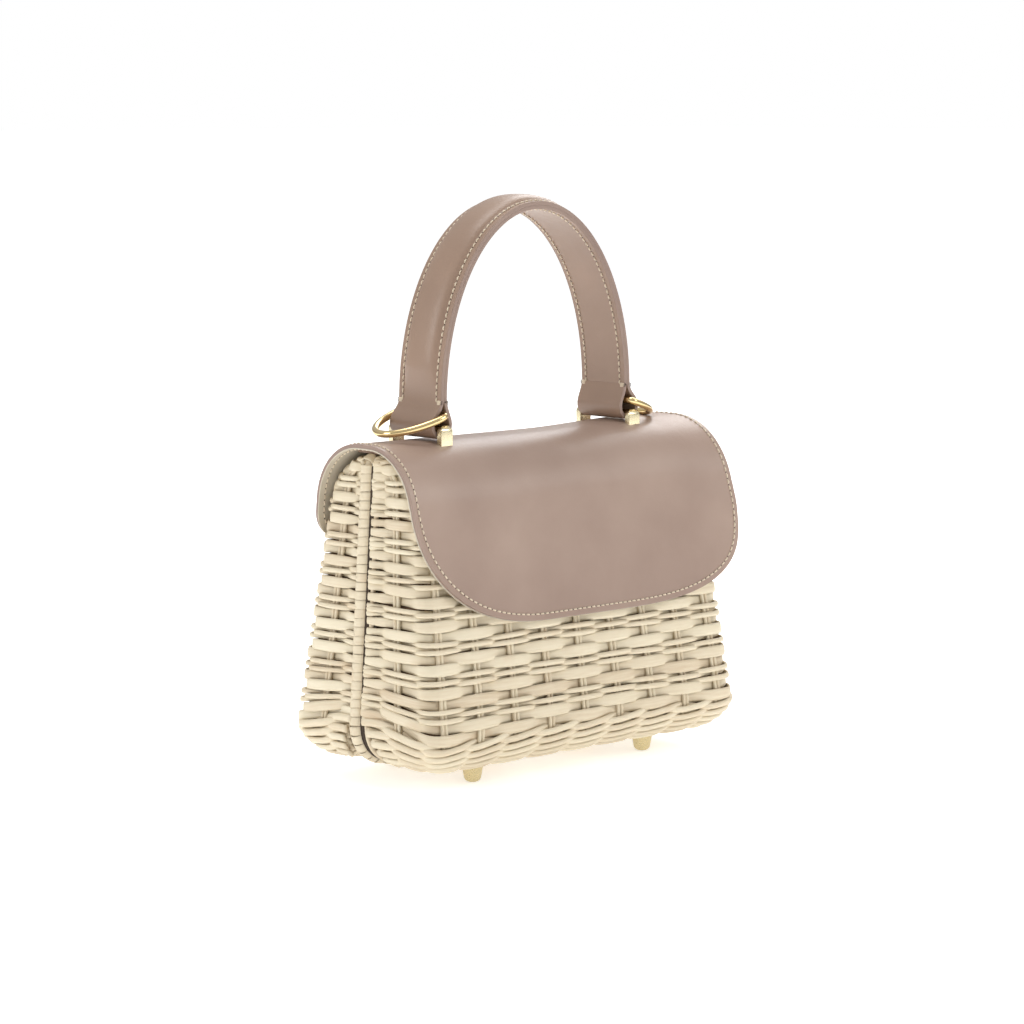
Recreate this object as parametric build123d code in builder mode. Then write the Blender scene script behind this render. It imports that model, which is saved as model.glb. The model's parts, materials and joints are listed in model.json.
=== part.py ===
from build123d import *
import math
import os

os.makedirs("parts", exist_ok=True)

# A basket box bag, in millimetres. X runs along the bag, -Y is the front and
# Z is up. The origin is on the ground under the middle of the bag, in the
# plane where the two woven halves meet.

# ---- driving dimensions: the woven box -------------------------------------
basket_width = 218.0         # along X at its widest level
basket_depth = 102.0         # along Y at its widest level
widest_height = 34.0         # the level where both are measured
basket_top = 162.0
foot_height = 9.0            # the basket's underside is this far up
lean_width = 0.0655          # how much each end leans in for each mm up
lean_depth = 0.157           # how much the front and the back lean in
base_radius = 18.0           # rounding all round the underside
shoulder_radius = 23.0       # rounding of the long top edges
end_top_radius = 5.0         # rounding of the short top edges
corner_radius = 13.0         # upright corners, seen from above
wall = 5.0                   # the woven wall
rim_depth = 7.0              # the wrapped hoop round the mouth of each half
seam_gap = 0.2               # from the seam plane to each hoop
lining_gap = 0.3
lining_thickness = 0.8
lining_edge = 1.0            # the lining stops this far from the seam plane

# ---- driving dimensions: leather flap --------------------------------------
leather = 2.4
flap_gap = 1.15              # between the flap and the woven walls
flap_top_inside = 165.2      # underside of the leather on top
flap_bend_radius = 31.6      # inside radius of its two long bends
flap_half_width = 107.0
flap_front_bottom = 82.0
flap_front_corner = 34.0
flap_back_bottom = 118.0
flap_back_corner = 15.0
fold_past_post = 2.2         # from a front post to the line where the flap folds up
fold_gap = 0.15
board_gap = 0.2              # between the stiffening board and the leather
board_bottom = 162.4
board_half_length = 96.0
board_past_strap = 2.2       # how far the board reaches in front of the strap's edge

# ---- driving dimensions: handle and its hardware ---------------------------
handle_y = 3.2               # middle of the handle, front to back
strap_width = 31.0
spring_height = 186.0        # where the arch starts
arch_height = 98.5           # from there to its top, outside
arch_half_span = 66.0        # outside
strap_layer = 2.0            # one leather; the padding is as thick again
padding_width = 22.0
strap_edge_bevel = 1.8
loop_x = 65.2
loop_height = 175.1
loop_outside = 5.5
ring_bar_height = 180.0
ring_slot_radius = 2.3
ring_wire = 1.8              # radius
ring_corner = 2.4            # from the bar into the bow, on the wire's middle
ring_side_gap = 0.7          # between the strap's edge and the ring's wire
ring_reach = 28.0
ring_rest_gap = 0.3          # between a resting ring and the leather
pin_radius = 1.75
pin_height = 173.4
pin_fit = 0.05
pin_hole_depth = 2.4
post_width = 7.6
post_thickness = 3.3
post_top_height = 176.4
post_gap = 0.7               # between a post and the strap
post_seat_gap = 0.5          # from a post's tang down to the woven top
post_slot_fit = 0.1

# ---- driving dimensions: small parts ---------------------------------------
foot_x = 59.6
foot_y = 28.0
foot_tip_radius = 3.4
foot_top_radius = 5.3
foot_flange_radius = 6.2
foot_flange = 1.2
foot_tip_round = 0.6
screw_radius = 1.5
screw_fit = 0.05
screw_depth = 5.0            # into the foot
screw_head_radius = 4.2
screw_head = 1.2
hinge_x = 36.0
hinge_length = 24.0
hinge_barrel = 1.8           # radius
hinge_axis_height = 7.0
hinge_leaf = 1.0
hinge_leaf_reach = 13.0
hinge_clearance = 0.2
hinge_pin_radius = 0.8
hinge_pin_fit = 0.1
hinge_rivet_x = 8.0          # each side of a hinge's middle
hinge_rivet_y = 9.0
rivet_radius = 1.1
rivet_fit = 0.05
rivet_head_radius = 2.6
rivet_head = 1.0
rivet_seat = 0.05            # between a rivet's head and what it holds
flap_rivet_height = 124.5
flap_rivet_pitch = 48.0
flap_rivets = 4
magnet_height = 94.0
magnet_radius = 7.0
magnet_in_flap = 1.2
magnet_in_basket = 2.2
magnet_fit = 0.1

lining_inset = wall + lining_gap
room_inset = lining_inset + lining_thickness
rim_inner_y = seam_gap + rim_depth
lean_cos = math.cos(math.atan(lean_depth))
far = 2 * basket_width       # longer than anything that it cuts
LEFT = -1
RIGHT = 1
FRONT = -1
BACK = 1
side_names = {LEFT: "left", RIGHT: "right"}
face_names = {FRONT: "front", BACK: "back"}


# ---- the box's form ---------------------------------------------------------
def half_depth(z):
    return basket_depth / 2 - lean_depth * (z - widest_height)


def half_width(z):
    return basket_width / 2 - lean_width * (z - widest_height)


def rounding(distance, radius):
    # how far a rounded corner draws in from its wall, this far from the face
    if distance >= radius:
        return 0.0
    return radius - math.sqrt(radius ** 2 - (radius - distance) ** 2)


def box_form(inset):
    # the closed box, with every face moved in by inset
    low = foot_height + inset
    high = basket_top - inset
    base = base_radius - inset
    shoulder = shoulder_radius - inset
    end_top = max(end_top_radius - inset, 0.5)
    steps = [0.0, 0.05, 0.17, 0.42, 1.0]
    levels = [low + base * step for step in steps]
    levels += [high - shoulder * step for step in reversed(steps)]
    with BuildPart() as form:
        for z in levels:
            bottom = rounding(z - low, base)
            depth = half_depth(z) - inset - bottom - rounding(high - z, shoulder)
            width = half_width(z) - inset - bottom - rounding(high - z, end_top)
            with BuildSketch(Plane.XY.offset(z)):
                RectangleRounded(2 * width, 2 * depth, min(corner_radius - inset, 0.9 * depth))
        loft(ruled=True)
    return form.part


def woven_height(y):
    # top of the box over one place between its long rounded edges
    past = max(abs(y) - (half_depth(basket_top) - shoulder_radius), 0.0)
    return basket_top - shoulder_radius + math.sqrt(shoulder_radius ** 2 - past ** 2)


def wall_plane(x, z, side, outset):
    # a plane on the front or back wall, facing outwards
    normal = Vector(0, side, lean_depth).normalized()
    middle = Vector(x, side * half_depth(z), z) + normal * outset
    return Plane(middle, x_dir=(1, 0, 0), z_dir=normal)


outer_form = box_form(0.0)
wall_inside = box_form(wall)
lining_outside = box_form(lining_inset)
room = box_form(room_inset)


def keep_between(y_one, y_two):
    with Locations((0, (y_one + y_two) / 2, basket_top / 2)):
        Box(far, abs(y_two - y_one), far, mode=Mode.INTERSECT)


feet_at = {side: [(x, side * foot_y) for x in (-foot_x, foot_x)] for side in (FRONT, BACK)}
hinge_rivets_at = {
    side: [
        (middle + offset, side * hinge_rivet_y)
        for middle in (-hinge_x, hinge_x)
        for offset in (-hinge_rivet_x, hinge_rivet_x)
    ]
    for side in (FRONT, BACK)
}
flap_rivets_x = [flap_rivet_pitch * (i - (flap_rivets - 1) / 2) for i in range(flap_rivets)]


def drill_floor(side):
    with Locations(*[(x, y, foot_height) for x, y in feet_at[side]]):
        Cylinder(screw_radius + screw_fit, 4 * room_inset, mode=Mode.SUBTRACT)
    with Locations(*[(x, y, foot_height) for x, y in hinge_rivets_at[side]]):
        Cylinder(rivet_radius + rivet_fit, 4 * room_inset, mode=Mode.SUBTRACT)


def drill_flap_rivets():
    with Locations(*[wall_plane(x, flap_rivet_height, BACK, 0) for x in flap_rivets_x]):
        Cylinder(rivet_radius + rivet_fit, 4 * room_inset, mode=Mode.SUBTRACT)


# ---- woven halves, their hoops and their linings ---------------------------
with BuildPart() as basket_back:
    add(outer_form)
    add(wall_inside, mode=Mode.SUBTRACT)
    keep_between(rim_inner_y, far)
    drill_floor(BACK)
    drill_flap_rivets()
basket_back.part.label = "basket_back"
export_step(basket_back.part, "parts/basket_back.step")

with BuildPart() as basket_front:
    add(outer_form)
    add(wall_inside, mode=Mode.SUBTRACT)
    keep_between(-rim_inner_y, -far)
    drill_floor(FRONT)
    with Locations(wall_plane(0, magnet_height, FRONT, 0)):
        Cylinder(magnet_radius + magnet_fit, 2 * (magnet_in_basket + magnet_fit), mode=Mode.SUBTRACT)
basket_front.part.label = "basket_front"
export_step(basket_front.part, "parts/basket_front.step")

for side in (FRONT, BACK):
    with BuildPart() as rim:
        add(outer_form)
        add(wall_inside, mode=Mode.SUBTRACT)
        keep_between(side * seam_gap, side * rim_inner_y)
    rim.part.label = f"rim_{face_names[side]}"
    export_step(rim.part, f"parts/{rim.part.label}.step")

for side in (FRONT, BACK):
    with BuildPart() as lining:
        add(lining_outside)
        add(room, mode=Mode.SUBTRACT)
        keep_between(side * lining_edge, side * far)
        drill_floor(side)
        if side == BACK:
            drill_flap_rivets()
    lining.part.label = f"lining_{face_names[side]}"
    export_step(lining.part, f"parts/{lining.part.label}.step")

# ---- the leather flap -------------------------------------------------------
# One hide bends over the top of the box. It is held to the back half, and its
# front folds up along fold_y, just in front of the posts of the handle.
flap_shoulder = half_depth(flap_top_inside) + flap_gap
flap_path = [
    (-half_depth(flap_front_bottom) - flap_gap, flap_front_bottom),
    (-flap_shoulder, flap_top_inside),
    (flap_shoulder, flap_top_inside),
    (half_depth(flap_back_bottom) + flap_gap, flap_back_bottom),
]
flap_top_outside = flap_top_inside + leather
half_turn = (math.pi / 2 - math.atan(lean_depth)) / 2
flap_flat = flap_shoulder - flap_bend_radius * math.tan(half_turn)
strap_front = handle_y - strap_width / 2
strap_back = handle_y + strap_width / 2
fold_y = strap_front - post_gap - post_thickness - fold_past_post
board_half_width = board_past_strap - strap_front


def leather_inside(y):
    # underside of the leather over one place between its bends
    past = max(abs(y) - flap_flat, 0.0)
    return flap_top_inside - flap_bend_radius + math.sqrt(flap_bend_radius ** 2 - past ** 2)


def leather_outside(y):
    past = max(abs(y) - flap_flat, 0.0)
    radius = flap_bend_radius + leather
    return flap_top_outside - radius + math.sqrt(radius ** 2 - past ** 2)


def outline_block(bottom, corner, side):
    # the hide's outline on the front or on the back, as a block to keep
    height = flap_top_outside + leather - bottom
    with BuildPart() as block:
        with Locations((0, side * basket_depth / 2, bottom + height / 2)):
            Box(2 * flap_half_width, basket_depth, height)
        low_uprights = block.edges().filter_by(Axis.Y).group_by(Axis.Z)[0]
        fillet(low_uprights, corner)
    return block.part


front_outline = outline_block(flap_front_bottom, flap_front_corner, FRONT)
back_outline = outline_block(flap_back_bottom, flap_back_corner, BACK)


with BuildSketch(Plane.YZ) as hide_section:
    with BuildLine():
        FilletPolyline(*flap_path, radius=flap_bend_radius)
        offset(amount=leather, side=Side.LEFT)
    make_face()


post_y = {
    FRONT: strap_front - post_gap - post_thickness / 2,
    BACK: strap_back + post_gap + post_thickness / 2,
}


def cut_post_slots():
    for y in post_y.values():
        with Locations((-loop_x, y, basket_top), (loop_x, y, basket_top)):
            Box(
                post_width + 2 * post_slot_fit,
                post_thickness + 2 * post_slot_fit,
                basket_top,
                mode=Mode.SUBTRACT,
            )


with BuildPart() as hide_outline:
    add(front_outline)
    add(back_outline)

with BuildPart() as flap_top:
    extrude(hide_section.sketch, amount=flap_half_width, both=True)
    add(hide_outline.part, mode=Mode.INTERSECT)
    keep_between(fold_y + fold_gap, far)
    cut_post_slots()
    drill_flap_rivets()
flap_top.part.label = "flap_top"
export_step(flap_top.part, "parts/flap_top.step")

with BuildPart() as flap_front:
    extrude(hide_section.sketch, amount=flap_half_width, both=True)
    add(hide_outline.part, mode=Mode.INTERSECT)
    keep_between(-far, fold_y - fold_gap)
    with BuildSketch(wall_plane(0, magnet_height, FRONT, 0)):
        Circle(magnet_radius + magnet_fit)
    extrude(amount=flap_gap * lean_cos + magnet_in_flap + magnet_fit, mode=Mode.SUBTRACT)
flap_front.part.label = "flap_front"
export_step(flap_front.part, "parts/flap_front.step")

# The board keeps the top of the hide domed and carries the handle's posts.
with BuildPart() as top_board:
    with BuildSketch(Plane.YZ):
        with BuildLine():
            crown = leather_inside(0) - board_gap
            edge = leather_inside(board_half_width) - board_gap
            if board_half_width > flap_flat:
                left_bend = RadiusArc(
                    (-board_half_width, edge), (-flap_flat, crown), flap_bend_radius - board_gap
                )
                flat = Line(left_bend @ 1, (flap_flat, crown))
                RadiusArc(flat @ 1, (board_half_width, edge), flap_bend_radius - board_gap)
            else:
                Line((-board_half_width, edge), (board_half_width, edge))
            Polyline(
                (board_half_width, edge),
                (board_half_width, 0),
                (-board_half_width, 0),
                (-board_half_width, edge),
            )
        make_face()
        with Locations((0, board_bottom + far / 2)):
            Rectangle(far, far, mode=Mode.INTERSECT)
    extrude(amount=board_half_length, both=True)
    cut_post_slots()
top_board.part.label = "top_board"
export_step(top_board.part, "parts/top_board.step")

# ---- handle posts and pins --------------------------------------------------
for face, y in post_y.items():
    tang_bottom = woven_height(abs(y) - post_thickness / 2) + post_seat_gap
    inner_face_y = y - face * post_thickness / 2
    for side in (LEFT, RIGHT):
        pin_seat = Plane((side * loop_x, inner_face_y, pin_height), z_dir=(0, 1, 0))
        with BuildPart() as post:
            with BuildSketch(Plane.XZ.offset(-y)):
                with Locations((side * loop_x, post_top_height - post_width / 2)):
                    Circle(post_width / 2)
                with Locations((side * loop_x, tang_bottom + post_thickness / 2)):
                    Rectangle(post_width, post_thickness)
                make_hull()
            extrude(amount=post_thickness / 2, both=True)
            with Locations(pin_seat):
                Cylinder(pin_radius + pin_fit, 2 * pin_hole_depth, mode=Mode.SUBTRACT)
        post.part.label = f"handle_post_{face_names[face]}_{side_names[side]}"
        export_step(post.part, f"parts/{post.part.label}.step")

pin_length = strap_width + 2 * post_gap + 2 * pin_hole_depth - 2 * pin_fit
for side in (LEFT, RIGHT):
    with BuildPart() as pin:
        with Locations(Plane((side * loop_x, handle_y, pin_height), z_dir=(0, 1, 0))):
            Cylinder(pin_radius, pin_length)
    pin.part.label = f"handle_pin_{side_names[side]}"
    export_step(pin.part, f"parts/{pin.part.label}.step")

# ---- the handle: outer strap with a loop at each end, padding, inner strap --
handle_plane = Plane.XZ.offset(-handle_y)


def arch_band(outside, inside, width):
    # part of the arch between two depths below its outer face
    with BuildSketch(handle_plane) as band:
        with Locations((0, spring_height)):
            Ellipse(arch_half_span - outside, arch_height - outside)
            Ellipse(arch_half_span - inside, arch_height - inside, mode=Mode.SUBTRACT)
        with Locations((0, spring_height - arch_height)):
            Rectangle(far, 2 * arch_height, mode=Mode.SUBTRACT)
    extrude(band.sketch, amount=width / 2, both=True)


strap_thickness = 3 * strap_layer
loop_top_x = arch_half_span - strap_thickness / 2
slot_top_share = (ring_bar_height - loop_height) / (spring_height - loop_height)
slot_x = loop_x + slot_top_share * (loop_top_x - loop_x)

with BuildPart() as padding:
    arch_band(strap_layer, 2 * strap_layer, padding_width)
padding.part.label = "handle_padding"
export_step(padding.part, "parts/handle_padding.step")

with BuildPart() as handle_inner:
    arch_band(2 * strap_layer, strap_thickness, strap_width)
handle_inner.part.label = "handle_inner_strap"
export_step(handle_inner.part, "parts/handle_inner_strap.step")

with BuildPart() as handle_outer:
    arch_band(0, 2 * strap_layer, strap_width)
    long_edges = handle_outer.edges().filter_by(GeomType.ELLIPSE).sort_by(SortBy.LENGTH)[-2:]
    chamfer(long_edges, strap_edge_bevel)
    add(padding.part, mode=Mode.SUBTRACT)
    for side in (LEFT, RIGHT):
        with BuildSketch(handle_plane):
            with Locations((side * loop_x, loop_height)):
                Circle(loop_outside)
            with Locations((side * loop_top_x, spring_height - strap_layer / 2)):
                Rectangle(strap_thickness, strap_layer)
            make_hull()
        extrude(amount=strap_width / 2, both=True)
        with BuildSketch(handle_plane):
            with Locations((side * loop_x, loop_height)):
                Circle(loop_outside - strap_layer)
            with Locations((side * slot_x, ring_bar_height)):
                Circle(ring_slot_radius)
            make_hull()
        extrude(amount=strap_width, both=True, mode=Mode.SUBTRACT)
handle_outer.part.label = "handle_outer_strap"
export_step(handle_outer.part, "parts/handle_outer_strap.step")

# ---- D-rings: a straight bar in the strap's loop and a bow outside it -------
ring_drop = ring_bar_height - ring_wire - flap_top_outside - ring_rest_gap
ring_droop = math.asin(ring_drop / ring_reach)
ring_half_width = strap_width / 2 + ring_side_gap + ring_wire
bar_end = ring_half_width - ring_corner
for side in (LEFT, RIGHT):
    bar_middle = (side * slot_x, handle_y, ring_bar_height)
    outwards = Vector(side * math.cos(ring_droop), 0, -math.sin(ring_droop))
    ring_plane = Plane(bar_middle, x_dir=outwards, z_dir=outwards.cross(Vector(0, 1, 0)))
    with BuildPart() as d_ring:
        with BuildLine(ring_plane) as ring_line:
            Line((0, -bar_end), (0, bar_end))
            CenterArc((ring_corner, bar_end), ring_corner, 180, -90)
            EllipticalCenterArc(
                (ring_corner, 0),
                ring_reach - ring_corner,
                ring_half_width,
                start_angle=-90,
                arc_size=180,
            )
            CenterArc((ring_corner, -bar_end), ring_corner, 180, 90)
        ring_path = ring_line.wires()[0]
        with BuildSketch(Plane(ring_path @ 0, z_dir=ring_path % 0)) as ring_section:
            Circle(ring_wire)
        sweep(ring_section.sketch, path=ring_path)
    d_ring.part.label = f"d_ring_{side_names[side]}"
    export_step(d_ring.part, f"parts/{d_ring.part.label}.step")

# ---- feet and the screws that hold them ------------------------------------
inside_floor = foot_height + room_inset
for face in (FRONT, BACK):
    for side in (LEFT, RIGHT):
        with BuildPart() as foot:
            with Locations((side * foot_x, face * foot_y, (foot_height - foot_flange) / 2)):
                Cone(foot_tip_radius, foot_top_radius, foot_height - foot_flange)
            fillet(foot.edges().sort_by(Axis.Z)[0], foot_tip_round)
            with Locations((side * foot_x, face * foot_y, foot_height - foot_flange / 2)):
                Cylinder(foot_flange_radius, foot_flange)
            with Locations((side * foot_x, face * foot_y, foot_height)):
                Cylinder(screw_radius + screw_fit, 2 * (screw_depth + screw_fit), mode=Mode.SUBTRACT)
        foot.part.label = f"foot_{face_names[face]}_{side_names[side]}"
        export_step(foot.part, f"parts/{foot.part.label}.step")

    shank = screw_depth + room_inset
    with BuildPart() as foot_screws:
        with Locations(*[(x, y, inside_floor - shank / 2) for x, y in feet_at[face]]):
            Cylinder(screw_radius, shank)
        with Locations(*[(x, y, inside_floor + screw_head / 2) for x, y in feet_at[face]]):
            Cylinder(screw_head_radius, screw_head)
    foot_screws.part.label = f"foot_screws_{face_names[face]}"
    export_step(foot_screws.part, f"parts/{foot_screws.part.label}.step")

# ---- two butt hinges under the seam ----------------------------------------
knuckle = (hinge_length - 2 * hinge_clearance) / 3
knuckle_pitch = knuckle + hinge_clearance
knuckle_offsets = {BACK: (-knuckle_pitch, knuckle_pitch), FRONT: (0.0,)}
plate_start = hinge_barrel + hinge_clearance
plate_middle_height = foot_height - hinge_leaf / 2
for side in (LEFT, RIGHT):
    middle = side * hinge_x
    for face in (FRONT, BACK):
        plate_reach = hinge_leaf_reach - plate_start
        with BuildPart() as leaf:
            with Locations((middle, face * (plate_start + plate_reach / 2), plate_middle_height)):
                Box(hinge_length, plate_reach, hinge_leaf)
            for offset_x in knuckle_offsets[face]:
                with Locations((middle + offset_x, face * plate_start / 2, plate_middle_height)):
                    Box(knuckle, plate_start, hinge_leaf)
                with Locations(Plane((middle + offset_x, 0, hinge_axis_height), z_dir=(1, 0, 0))):
                    Cylinder(hinge_barrel, knuckle)
            with Locations(Plane((middle, 0, hinge_axis_height), z_dir=(1, 0, 0))):
                Cylinder(hinge_pin_radius + hinge_pin_fit, far, mode=Mode.SUBTRACT)
            with Locations(*[(x, y, foot_height) for x, y in hinge_rivets_at[face]]):
                Cylinder(rivet_radius + rivet_fit, 4 * hinge_leaf, mode=Mode.SUBTRACT)
        leaf.part.label = f"hinge_leaf_{face_names[face]}_{side_names[side]}"
        export_step(leaf.part, f"parts/{leaf.part.label}.step")

    with BuildPart() as hinge_pin:
        with Locations(Plane((middle, 0, hinge_axis_height), z_dir=(1, 0, 0))):
            Cylinder(hinge_pin_radius, hinge_length)
    hinge_pin.part.label = f"hinge_pin_{side_names[side]}"
    export_step(hinge_pin.part, f"parts/{hinge_pin.part.label}.step")

for face in (FRONT, BACK):
    shank = hinge_leaf + room_inset
    with BuildPart() as hinge_rivets:
        places = hinge_rivets_at[face]
        with Locations(*[(x, y, inside_floor - shank / 2) for x, y in places]):
            Cylinder(rivet_radius, shank)
        with Locations(*[(x, y, inside_floor + rivet_head / 2) for x, y in places]):
            Cylinder(rivet_head_radius, rivet_head)
        with Locations(*[(x, y, foot_height - hinge_leaf - rivet_head / 2) for x, y in places]):
            Cylinder(rivet_head_radius, rivet_head)
    hinge_rivets.part.label = f"hinge_rivets_{face_names[face]}"
    export_step(hinge_rivets.part, f"parts/{hinge_rivets.part.label}.step")

# ---- rivets that hold the hide to the back wall ----------------------------
grip_out = flap_gap * lean_cos + leather + rivet_seat
grip_in = room_inset * lean_cos + rivet_seat
with BuildPart() as flap_rivet_set:
    for x in flap_rivets_x:
        with Locations(wall_plane(x, flap_rivet_height, BACK, (grip_out - grip_in) / 2)):
            Cylinder(rivet_radius, grip_out + grip_in)
        with Locations(wall_plane(x, flap_rivet_height, BACK, grip_out + rivet_head / 2)):
            Cylinder(rivet_head_radius, rivet_head)
        with Locations(wall_plane(x, flap_rivet_height, BACK, -grip_in - rivet_head / 2)):
            Cylinder(rivet_head_radius, rivet_head)
flap_rivet_set.part.label = "flap_rivets"
export_step(flap_rivet_set.part, "parts/flap_rivets.step")

# ---- the closing magnet and its plate --------------------------------------
with BuildPart() as magnet:
    with Locations(wall_plane(0, magnet_height, FRONT, -magnet_in_basket / 2)):
        Cylinder(magnet_radius, magnet_in_basket)
magnet.part.label = "magnet_basket"
export_step(magnet.part, "parts/magnet_basket.step")

with BuildPart() as catch_plate:
    with Locations(wall_plane(0, magnet_height, FRONT, flap_gap * lean_cos + magnet_in_flap / 2)):
        Cylinder(magnet_radius, magnet_in_flap)
catch_plate.part.label = "catch_plate_flap"
export_step(catch_plate.part, "parts/catch_plate_flap.step")
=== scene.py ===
# %% [markdown]
# # A basket box bag
# Two woven cane shells stand face to face like the halves of a box, a leather
# hide folds over the top, and a padded strap makes the handle. The frame is
# loaded first, because every piece below is placed by it.

# %% Load the frame
import json
import math
import random

import bpy
import numpy as np
from mathutils import Matrix, Vector


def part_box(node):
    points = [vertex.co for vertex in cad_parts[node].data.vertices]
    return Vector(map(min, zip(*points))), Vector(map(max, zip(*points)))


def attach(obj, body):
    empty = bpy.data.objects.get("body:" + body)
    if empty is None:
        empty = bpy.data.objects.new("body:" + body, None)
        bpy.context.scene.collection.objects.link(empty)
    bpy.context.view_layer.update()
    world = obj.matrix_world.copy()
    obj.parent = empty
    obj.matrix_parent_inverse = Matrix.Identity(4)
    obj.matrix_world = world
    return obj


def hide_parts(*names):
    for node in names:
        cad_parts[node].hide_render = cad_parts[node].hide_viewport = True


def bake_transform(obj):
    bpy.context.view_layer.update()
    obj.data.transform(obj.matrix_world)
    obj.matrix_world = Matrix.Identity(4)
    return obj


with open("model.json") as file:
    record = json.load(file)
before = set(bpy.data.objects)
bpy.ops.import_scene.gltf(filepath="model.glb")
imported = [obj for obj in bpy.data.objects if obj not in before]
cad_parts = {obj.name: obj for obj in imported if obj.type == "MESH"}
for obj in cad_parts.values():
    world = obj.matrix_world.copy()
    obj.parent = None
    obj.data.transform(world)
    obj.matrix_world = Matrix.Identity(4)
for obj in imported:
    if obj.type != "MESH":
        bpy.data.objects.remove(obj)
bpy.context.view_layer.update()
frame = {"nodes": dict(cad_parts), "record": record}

mm = 0.001
quarter = math.pi / 2
FRONT = -1
BACK = 1
halves = ((FRONT, "front"), (BACK, "back"))
chance = random.Random(7)
bpy.ops.object.select_all(action="DESELECT")

# %% [markdown]
# ## Helpers
# Most pieces start as a grid or a simple solid. Their points are set by
# formula, and then they are thickened, bevelled or edited in a few shared ways.


# %% Modelling helpers
def add_to_scene(name, data):
    made = bpy.data.objects.new(name, data)
    bpy.context.scene.collection.objects.link(made)
    return made


def add_grid(name, columns, rows):
    """A flat grid from -1 to 1 both ways, and its points."""
    bpy.ops.mesh.primitive_grid_add(x_subdivisions=columns, y_subdivisions=rows, size=2)
    made = bpy.context.object
    made.name = name
    return made, np.array([v.co for v in made.data.vertices])


def set_points(piece, points):
    """Moves the vertices of a piece to points given in millimetres."""
    piece.data.vertices.foreach_set("co", (points * mm).astype(np.float32).ravel())
    piece.data.update()


def thicken(piece, thickness, offset, rim_material=0):
    """Makes a sheet solid; its cut edge takes the material counted by rim_material."""
    bpy.ops.object.modifier_add(type="SOLIDIFY")
    made = piece.modifiers["Solidify"]
    made.thickness = thickness * mm
    made.offset = offset
    made.material_offset_rim = rim_material
    bpy.ops.object.modifier_apply(modifier="Solidify")


def bevel_edges(piece, width, segments, degrees=40):
    """Rounds every edge that turns by more than the given angle."""
    bpy.ops.object.modifier_add(type="BEVEL")
    made = piece.modifiers["Bevel"]
    made.width = width * mm
    made.segments = segments
    made.limit_method = "ANGLE"
    made.angle_limit = math.radians(degrees)
    bpy.ops.object.modifier_apply(modifier="Bevel")


def edit_whole(operator, **settings):
    """Runs one operator of edit mode on the whole mesh."""
    bpy.ops.object.mode_set(mode="EDIT")
    bpy.ops.mesh.select_all(action="SELECT")
    operator(**settings)
    bpy.ops.object.mode_set(mode="OBJECT")


def select_only(mesh, kind, wanted):
    """Goes into edit mode with only the wanted "edges" or "polygons" selected."""
    bpy.ops.object.mode_set(mode="EDIT")
    bpy.ops.mesh.select_all(action="DESELECT")
    bpy.ops.object.mode_set(mode="OBJECT")
    for part in getattr(mesh, kind):
        part.select = wanted(part)
    bpy.ops.object.mode_set(mode="EDIT")


# %% Line helpers
def unit(rows):
    return rows / np.linalg.norm(rows, axis=1)[:, None]


def run_length(line):
    """Distance along the line to each of its points."""
    return np.concatenate([[0], np.cumsum(np.linalg.norm(np.diff(line, axis=0), axis=1))])


def spread(line, count):
    """The same flat line with evenly spaced points."""
    run = run_length(line)
    even = np.linspace(0, run[-1], count)
    return np.stack([np.interp(even, run, line[:, k]) for k in (0, 1)], -1)


def smooth(value):
    value = np.clip(value, 0, 1)
    return value * value * (3 - 2 * value)


# %% Node helpers
def wire(tree, links):
    """Links nodes; each row is a node, its output, the next node and its input."""
    for source, output, target, entry in links:
        tree.links.new(source.outputs[output], target.inputs[entry])


def node(tree, kind, **values):
    """Adds a shader node; keys are input names, or properties in lower case."""
    made = tree.nodes.new("ShaderNode" + kind)
    for key, value in values.items():
        if hasattr(made, key):
            setattr(made, key, value)
        else:
            made.inputs[key.replace("_", " ")].default_value = value
    return made


def new_material(name, roughness, metallic=0.0):
    material = bpy.data.materials.new(name)
    material.use_nodes = True
    shader = material.node_tree.nodes["Principled BSDF"]
    shader.inputs["Roughness"].default_value = roughness
    shader.inputs["Metallic"].default_value = metallic
    return material, material.node_tree, shader


# %% [markdown]
# ## Camera, floor and light
# The bag stands on a pale floor and is seen from its left, a little from
# above, through a long lens, so its upright edges stay upright.

# %% Camera
view_azimuth = math.radians(-43.5)
view_elevation = math.radians(6.9)
view_distance = 1.735
lens_mm = 119.5
aim_right = -0.0045
aim_up = 0.1253

towards_camera = Vector((
    math.sin(view_azimuth) * math.cos(view_elevation),
    -math.cos(view_azimuth) * math.cos(view_elevation),
    math.sin(view_elevation),
))
picture_right = Vector((math.cos(view_azimuth), math.sin(view_azimuth), 0))
picture_up = towards_camera.cross(picture_right)
camera_data = bpy.data.cameras.new("camera")
camera = add_to_scene("camera", camera_data)
camera_data.lens = lens_mm
camera_data.sensor_width = 36
camera_data.clip_start = 0.05
camera_data.clip_end = 100
camera.location = picture_right * aim_right + picture_up * aim_up + towards_camera * view_distance
camera.rotation_euler = towards_camera.to_track_quat("Z", "Y").to_euler()
bpy.context.scene.camera = camera
print("camera at", [round(c, 3) for c in camera.location])

# %% Floor and light
middle_of_bag = Vector((0, 0, 0.12))
bpy.context.scene.view_settings.view_transform = "Standard"

bpy.ops.mesh.primitive_plane_add(size=60)
floor = bpy.context.object
floor.name = "floor"
floor_material, _, floor_shader = new_material("pale_floor", 0.9)
floor_shader.inputs["Base Color"].default_value = (0.9, 0.9, 0.9, 1)
floor_shader.inputs["Emission Color"].default_value = (1, 1, 1, 1)
floor_shader.inputs["Emission Strength"].default_value = 0.52
floor.data.materials.append(floor_material)


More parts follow.
